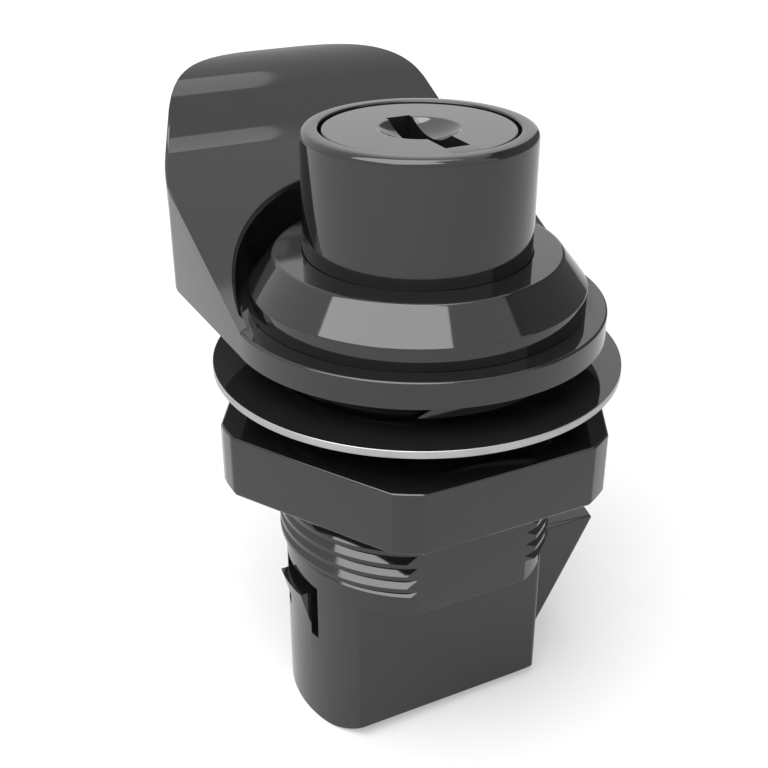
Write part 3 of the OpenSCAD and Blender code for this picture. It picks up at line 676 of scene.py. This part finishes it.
class LATCH_OT_finger_pull(LatchOperator, bpy.types.Operator):
    """Ring under the bezel, with the ramp, the wing and the hollow that clears the bezel"""
    bl_idname = "latch.finger_pull"
    bl_label = "Finger pull"

    def execute(self, context):
        top = wing_line()
        out = top[-1][0]
        under = []
        for x, z, slope in top[::-1]:
            thick = WING_T + (TIP_T - WING_T) * (x - RAMP_RUN) / (out - RAMP_RUN)
            a = math.radians(slope)
            under.append((x + thick * math.sin(a), z - thick * math.cos(a)))
        back = ramp_height(WING_BACK) - WING_T / math.cos(math.radians(RAMP_ANGLE))
        side = ([(0, 0), (0, RING_H), (RAMP_FROM, RING_H)] + [(x, z) for x, z, _ in top] + under
                + [(WING_BACK, back), (WING_BACK, 0)])
        bm = side_prism(side, WING_HALF)

        run = out + PLAN_SPARE - WING_SIDE
        shares = [1 - (1 - i / PLAN_STEPS) ** 2 for i in range(PLAN_STEPS + 1)]
        right = [(WING_HALF * (1 - s ** PLAN_ALONG) ** (1 / PLAN_ACROSS), WING_SIDE + s * run)
                 for s in shares]
        plan = [(-RING_R, 0), (RING_R, 0)] + right + [(-x, y) for x, y in right[-2::-1]]
        tool = bmesh.new()
        tool.faces.new([tool.verts.new(mm(x, y, -PAST)) for x, y in plan])
        bm = meet(bm, pushed(tool, mm(0, 0, ABOVE_ALL)))
        bm = join(bm, spun(band(0, RING_R, 0, RING_H), {2: RING_ROUND}, steps=FINE_STEPS))
        bm = cut(bm, rod(HOLLOW_R, RING_H, ABOVE_ALL, FINE_STEPS))
        hole = rod(BARREL_R + FIT_GAP, -PAST, RING_H + PAST)
        for s in (1, -1):
            trim(hole, mm(0, s * (BARREL_FLAT + FIT_GAP), 0), (0, s, 0))
        bm = cut(bm, hole)
        obj = piece("finger_pull_moulding", bm, "housing", ["moulding"],
                    edge=context.scene.latch_sizes.wing_edge, segments=3, where=upper_edge)
        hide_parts("finger_pull")
        return {"FINISHED"}


class LATCH_OT_push_button(LatchOperator, bpy.types.Operator):
    """Cap with a soft top edge, the recess for the plug and two guide keys"""
    bl_idname = "latch.push_button"
    bl_label = "Push button"

    def execute(self, context):
        top_round = context.scene.latch_sizes.button_round / MM
        bore = PLUG_R + FIT_GAP
        bm = spun([(BUTTON_R, BUTTON_END), (BUTTON_R, BUTTON_TOP), (RECESS_R, BUTTON_TOP),
                   (RECESS_R, RECESS_LOW), (bore, RECESS_LOW), (bore, CUP_TOP), (CUP_R, CUP_TOP),
                   (CUP_R, BUTTON_END)], {1: top_round, 2: RECESS_ROUND, 0: SKIRT_ROUND},
                  steps=FINE_STEPS)
        key = band(KEY_IN, BUTTON_R + KEY_OUT, BUTTON_END, BUTTON_END + KEY_H)
        for middle in (0, 180):
            bm = join(bm, sector(key, middle - KEY_HALF, middle + KEY_HALF))
        obj = piece("push_button_cap", bm, "button", ["button"])
        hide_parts("push_button")
        return {"FINISHED"}


class LATCH_OT_lock_plug(LatchOperator, bpy.types.Operator):
    """Lock plug: round face with a soft dish, a key slot, a clip groove and a tail"""
    bl_idname = "latch.lock_plug"
    bl_label = "Lock plug"

    def execute(self, context):
        lip = context.scene.latch_sizes.dish_lip / MM
        ball = (DISH_R ** 2 + DISH_H ** 2) / (2 * DISH_H)
        half = math.degrees(math.asin(DISH_R / ball))
        dish = arc((0, FACE_Z + ball - DISH_H), ball, -90, half - 90, DISH_STEPS)
        seal_top, clip_top = SEAL_GROOVE_LOW + SEAL_GROOVE_H, GROOVE_LOW + GROOVE_H
        corners = dish + [(FACE_R, FACE_Z), (FACE_R, seal_top), (SEAL_GROOVE_IN, seal_top),
                          (SEAL_GROOVE_IN, SEAL_GROOVE_LOW), (FACE_R, SEAL_GROOVE_LOW),
                          (FACE_R, HEAD_Z), (PLUG_R, HEAD_Z), (PLUG_R, clip_top),
                          (GROOVE_IN, clip_top), (GROOVE_IN, GROOVE_LOW), (PLUG_R, GROOVE_LOW),
                          (PLUG_R, PLUG_END), (TAIL_R, PLUG_END), (TAIL_R, TAIL_LOW), (0, TAIL_LOW)]
        bm = spun(corners, {len(dish): FACE_ROUND, len(dish) - 1: lip}, steps=FINE_STEPS)
        bm = cut(bm, block((-SLOT_HALF, SLOT_LOW_Y, SLOT_END),
                           (SLOT_HALF, SLOT_HIGH_Y, FACE_Z + PAST)))
        # Faces inside the key slot take the near-black finish, painted shade deep in the slot
        for face in bm.faces:
            middle = face.calc_center_median()
            x, y, _ = middle / MM
            inside = abs(x) < SLOT_HALF + PICK and SLOT_LOW_Y - PICK < y < SLOT_HIGH_Y + PICK
            face.material_index = 1 if inside and middle.z > SLOT_END * MM else 0
        obj = piece("lock_plug_face", bm, "plug", ["plug_face", "keyway"])
        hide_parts("lock_plug")
        return {"FINISHED"}


class LATCH_OT_fastening(LatchOperator, bpy.types.Operator):
    """Panel washer with black faces and a bright rim, and the big hex nut"""
    bl_idname = "latch.fastening"
    bl_label = "Washer and nut"

    def execute(self, context):
        washer = spun(band(CLEAR_R, WASHER_R, WASHER_LOW, WASHER_TOP),
                      {1: WASHER_ROUND, 2: WASHER_ROUND}, steps=RIM_STEPS)
        for face in washer.faces:
            rim = face.calc_center_median().xy.length > (WASHER_R - RIM_BAND) * MM
            face.material_index = 1 if rim else 0
        obj = piece("panel_washer_disc", washer, "washer",
                    ["washer_face", "washer_rim"])
        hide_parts("panel_washer")

        nut = bmesh.new()
        corners = arc((0, 0), NUT_APOTHEM / math.cos(math.pi / 6), 0, 300, 5)
        nut.faces.new([nut.verts.new(mm(x, y, NUT_LOW)) for x, y in corners])
        nut = pushed(nut, mm(0, 0, NUT_TOP - NUT_LOW))
        nut = meet(nut, rod(NUT_CORNER_R, NUT_LOW - PAST, NUT_TOP + PAST, FINE_STEPS))
        nut = cut(nut, rod(CLEAR_R, NUT_LOW - PAST, NUT_TOP + PAST))
        obj = piece("hex_nut_moulding", nut, "nut", ["moulding"],
                    edge=context.scene.latch_sizes.edge)
        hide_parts("hex_nut")
        return {"FINISHED"}


class LATCH_OT_slam_bolt(LatchOperator, bpy.types.Operator):
    """Bolt with its round nose and closing slope, the yoke's pocket and the spring's bore"""
    bl_idname = "latch.slam_bolt"
    bl_label = "Slam bolt"

    def execute(self, context):
        bm = spun([(0, BOLT_LOW), (CASE_R, BOLT_LOW), (BOLT_TIP, SHOULDER - NOSE_H),
                   (BOLT_TIP, SHOULDER), (0, SHOULDER)], BOLT_ROUNDS, steps=FINE_STEPS)
        bm = meet(bm, block((BOLT_BACK, -BOLT_HALF, BOLT_LOW - PAST),
                            (BOLT_TIP + PAST, BOLT_HALF, SHOULDER + PAST)))
        pocket = section(POCKET)
        shift(pocket, 0, -POCKET_HALF, 0)
        bm = cut(bm, pushed(pocket, mm(0, 2 * POCKET_HALF, 0)))
        bore = rod(BOLT_BORE_R, BOLT_BACK - PAST, BOLT_BORE_END, BORE_STEPS)
        turn(bore, 90, "Y")
        shift(bore, 0, 0, BOLT_BORE_Z)
        bm = cut(bm, bore)
        obj = piece("slam_bolt_moulding", bm, "bolt", ["moulding"],
                    edge=context.scene.latch_sizes.edge)
        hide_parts("slam_bolt")
        return {"FINISHED"}


def coil(radius, wire, low, length, turns):
    """A spring on the axis: closed end turns, with the open turns between them."""
    bm = bmesh.new()
    bmesh.ops.create_circle(bm, segments=WIRE_STEPS, radius=wire / 2 * MM)
    turn(bm, 90, "X")
    shift(bm, radius, 0, low + wire / 2)
    rise = length - wire
    last = bm.verts[:] + bm.edges[:]
    for count, climb in ((1, wire), (turns - 2, rise - 2 * wire), (1, wire)):
        total = count * COIL_STEPS
        out = bmesh.ops.spin(bm, geom=last, cent=(0, 0, 0), axis=AXIS_Z,
                             dvec=mm(0, 0, climb / total), angle=FULL_TURN * count, steps=total)
        last = out["geom_last"]
    return close(bm)


class LATCH_OT_springs(LatchOperator, bpy.types.Operator):
    """The button's spring and the bolt's spring"""
    bl_idname = "latch.springs"
    bl_label = "Springs"

    def execute(self, context):
        tall = piece("button_spring_wire", coil(**BUTTON_COIL), "housing", ["wire"])
        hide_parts("button_spring")
        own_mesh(tall)
        bm = coil(**BOLT_COIL)
        turn(bm, 90, "Y")
        shift(bm, 0, 0, BOLT_BORE_Z)
        small = piece("bolt_spring_wire", bm, "housing", ["wire"])
        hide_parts("bolt_spring")
        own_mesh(small)
        return {"FINISHED"}


class LATCH_OT_inner_parts(LatchOperator, bpy.types.Operator):
    """Finishes for the parts inside, which keep the shapes of the solids"""
    bl_idname = "latch.inner_parts"
    bl_label = "Inner parts"

    def execute(self, context):
        for node, finish in INNER_NODES.items():
            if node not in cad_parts:
                continue
            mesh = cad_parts[node].data
            mesh.materials.clear()
            mesh.materials.append(bpy.data.materials[finish])
        return {"FINISHED"}


def ceiling_lamp(name, left, right, front, back, height, level):
    """A flat soft lamp that hangs level and faces down, between two X and two Y."""
    light = bpy.data.lights.new(name, "AREA")
    light.shape, light.size, light.size_y = "RECTANGLE", right - left, back - front
    light.energy = level * math.pi * light.size * light.size_y
    obj = bpy.data.objects.new(name, light)
    obj.location = ((left + right) / 2, (front + back) / 2, height)
    obj.visible_camera = False
    bpy.context.scene.collection.objects.link(obj)


def sheet(name, corners, finish):
    """A flat sheet of the stage."""
    bm = bmesh.new()
    bm.faces.new([bm.verts.new(corner) for corner in corners])
    mesh = bpy.data.meshes.new(name)
    bm.to_mesh(mesh)
    bm.free()
    mesh.materials.append(finish)
    obj = bpy.data.objects.new(name, mesh)
    bpy.context.scene.collection.objects.link(obj)
    return obj


def seen_by_eye_or_gloss(tree):
    """One for rays from the camera and for mirrored and passing rays, nothing for the rest."""
    rays = tree.nodes.new("ShaderNodeLightPath")
    total = rays.outputs["Is Camera Ray"]
    for kind in ("Is Glossy Ray", "Is Transmission Ray"):
        either = tree.nodes.new("ShaderNodeMath")
        either.operation = "MAXIMUM"
        tree.links.new(total, either.inputs[0])
        tree.links.new(rays.outputs[kind], either.inputs[1])
        total = either.outputs["Value"]
    return total


def floor_finish(colour):
    """Matt and pale, with a glow for the eye and for mirrored rays that rises with the distance."""
    material, tree, main = shader("floor")
    tinted(tree, main, colour, scale=2, swing=0.01)
    main.inputs["Roughness"].default_value = STAGE_ROUGH
    main.inputs["Specular IOR Level"].default_value = 0.0
    nodes, links = tree.nodes, tree.links
    glow = nodes.new("ShaderNodeEmission")
    rays = nodes.new("ShaderNodeLightPath")
    where = nodes.new("ShaderNodeTexCoord")
    distance = nodes.new("ShaderNodeVectorMath")
    distance.operation = "LENGTH"
    fade = nodes.new("ShaderNodeMapRange")
    for socket, value in (("From Min", GLOW_FROM), ("From Max", GLOW_TO),
                          ("To Min", FLOOR_GLOW), ("To Max", FAR_GLOW)):
        fade.inputs[socket].default_value = value
    level = nodes.new("ShaderNodeMapRange")
    level.inputs["To Min"].default_value = FLOOR_SHEEN
    links.new(where.outputs["Object"], distance.inputs[0])
    links.new(distance.outputs["Value"], fade.inputs["Value"])
    links.new(fade.outputs["Result"], level.inputs["To Max"])
    links.new(rays.outputs["Is Camera Ray"], level.inputs["Value"])
    links.new(level.outputs["Result"], glow.inputs["Strength"])
    both = nodes.new("ShaderNodeAddShader")
    pick = nodes.new("ShaderNodeMixShader")
    links.new(main.outputs["BSDF"], both.inputs[0])
    links.new(glow.outputs["Emission"], both.inputs[1])
    links.new(seen_by_eye_or_gloss(tree), pick.inputs["Fac"])
    links.new(main.outputs["BSDF"], pick.inputs[1])
    links.new(both.outputs["Shader"], pick.inputs[2])
    links.new(pick.outputs["Shader"], nodes["Material Output"].inputs["Surface"])
    return material


def card_finish(colour):
    """Matt and dark."""
    material, tree, main = shader("dark_card")
    tinted(tree, main, colour, scale=2, swing=0.05)
    main.inputs["Roughness"].default_value = STAGE_ROUGH
    return material


def pale_world():
    """Surroundings that are dimmer as a light than the eye and mirrored rays see them."""
    world = bpy.data.worlds.new("surroundings")
    world.use_nodes = True
    nodes, links = world.node_tree.nodes, world.node_tree.links
    nodes.clear()
    choose = nodes.new("ShaderNodeMixShader")
    for number, strength in enumerate((SKY_LIGHT, 1.0), start=1):
        shade = nodes.new("ShaderNodeBackground")
        shade.inputs["Color"].default_value = (1, 1, 1, 1)
        shade.inputs["Strength"].default_value = strength
        links.new(shade.outputs["Background"], choose.inputs[number])
    links.new(seen_by_eye_or_gloss(world.node_tree), choose.inputs["Fac"])
    world_out = nodes.new("ShaderNodeOutputWorld")
    links.new(choose.outputs["Shader"], world_out.inputs["Surface"])
    return world


def photo_camera():
    """A camera with the photo's place, direction and lens."""
    lens = bpy.data.cameras.new("camera")
    lens.lens, lens.sensor_width, lens.sensor_fit = LENS, SENSOR, "HORIZONTAL"
    lens.clip_start, lens.clip_end = CLIP_FROM, CLIP_TO
    camera = bpy.data.objects.new("camera", lens)
    camera.location = mm(*CAMERA_AT)
    camera.rotation_euler = (math.radians(90 - CAMERA_PITCH), 0,
                             math.radians(CAMERA_HEADING - 90))
    bpy.context.scene.collection.objects.link(camera)
    return camera


class LATCH_OT_stage(LatchOperator, bpy.types.Operator):
    """Plain pale floor, dark card, soft lamps, pale surroundings and the camera"""
    bl_idname = "latch.stage"
    bl_label = "Stage"

    def execute(self, context):
        scene = context.scene
        scene.view_settings.view_transform = "Standard"
        floor_z = (CASE_LOW - FLOOR_GAP) * MM
        near, far = -FLOOR_REACH, FLOOR_REACH
        sheet("floor", [(near, near, floor_z), (far, near, floor_z),
                        (far, far, floor_z), (near, far, floor_z)],
              floor_finish(scene.latch_colours.floor))
        near, far = CARD_Y
        card = sheet("dark_card", [(CARD_X, near, floor_z), (CARD_X, far, floor_z),
                                   (CARD_X, far, CARD_TOP), (CARD_X, near, CARD_TOP)],
                     card_finish(scene.latch_colours.card))
        card.visible_camera = False
        scene.world = pale_world()
        for name, (left, right, front, back, level) in LAMPS.items():
            ceiling_lamp(name, left, right, front, back, LAMP_HEIGHT, level)
        scene.camera = photo_camera()
        return {"FINISHED"}


STEPS = (
    LATCH_OT_finishes, LATCH_OT_bezel, LATCH_OT_barrel, LATCH_OT_case, LATCH_OT_finger_pull,
    LATCH_OT_push_button, LATCH_OT_lock_plug, LATCH_OT_fastening, LATCH_OT_slam_bolt,
    LATCH_OT_springs, LATCH_OT_inner_parts, LATCH_OT_stage,
)


class LATCH_PT_panel(bpy.types.Panel):
    """Sizes, colours and pieces of the latch"""
    bl_idname = "LATCH_PT_panel"
    bl_label = "Push-to-close latch"
    bl_space_type = "VIEW_3D"
    bl_region_type = "UI"
    bl_category = "Latch"

    def draw(self, context):
        for group in (context.scene.latch_sizes, context.scene.latch_colours):
            column = self.layout.column(align=True)
            for name in group.__annotations__:
                column.prop(group, name)
        column = self.layout.column(align=True)
        for step in STEPS:
            column.operator(step.bl_idname)


CLASSES = (LatchSizes, LatchColours, *STEPS, LATCH_PT_panel)


def register():
    for cls in CLASSES:
        bpy.utils.register_class(cls)
    bpy.types.Scene.latch_sizes = PointerProperty(type=LatchSizes)
    bpy.types.Scene.latch_colours = PointerProperty(type=LatchColours)


def unregister():
    del bpy.types.Scene.latch_colours
    del bpy.types.Scene.latch_sizes
    for cls in reversed(CLASSES):
        bpy.utils.unregister_class(cls)


def main():
    register()
    for step in STEPS:
        group, name = step.bl_idname.split(".")
        getattr(getattr(bpy.ops, group), name)()
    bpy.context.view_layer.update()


if __name__ == "__main__":
    main()
